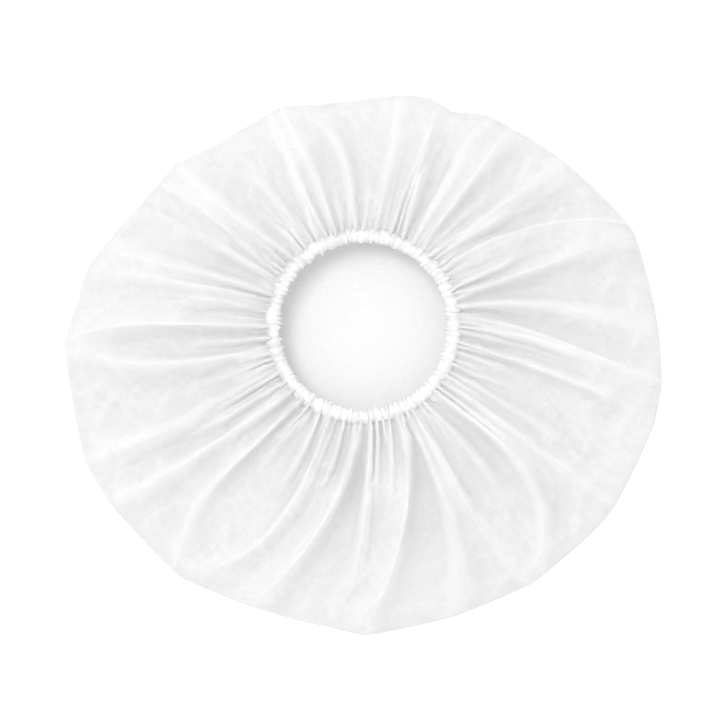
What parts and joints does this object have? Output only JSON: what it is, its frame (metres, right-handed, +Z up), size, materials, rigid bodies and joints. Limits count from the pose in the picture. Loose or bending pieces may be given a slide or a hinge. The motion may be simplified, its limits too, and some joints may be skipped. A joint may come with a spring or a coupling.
{
  "type": "disposable hair cover cap",
  "caption": "Round bouffant hair cover of thin pleated nonwoven with a ruffled elastic opening, lying flat on its crown, opening up.",
  "frame": {"origin": "middle of the laid cap's outline, on the surface that the crown lies on", "axes": "+X across the cap along its longest width, +Y towards the side that the opening is nearer to, +Z up out of the opening"},
  "size_m": [0.3102, 0.2812, 0.0228],
  "materials": {
    "nonwoven_fabric": "thin white spunbond polypropylene, slightly translucent, faintly fibrous and silky",
    "hem_fabric": "several gathered layers of the same white nonwoven, opaque and brighter",
    "elastic": "narrow matt off-white elastic"
  },
  "bodies": {
    "root": {"crown": "nonwoven_fabric", "hem_casing": "hem_fabric", "elastic_band": "elastic"}
  },
  "joints": []
}
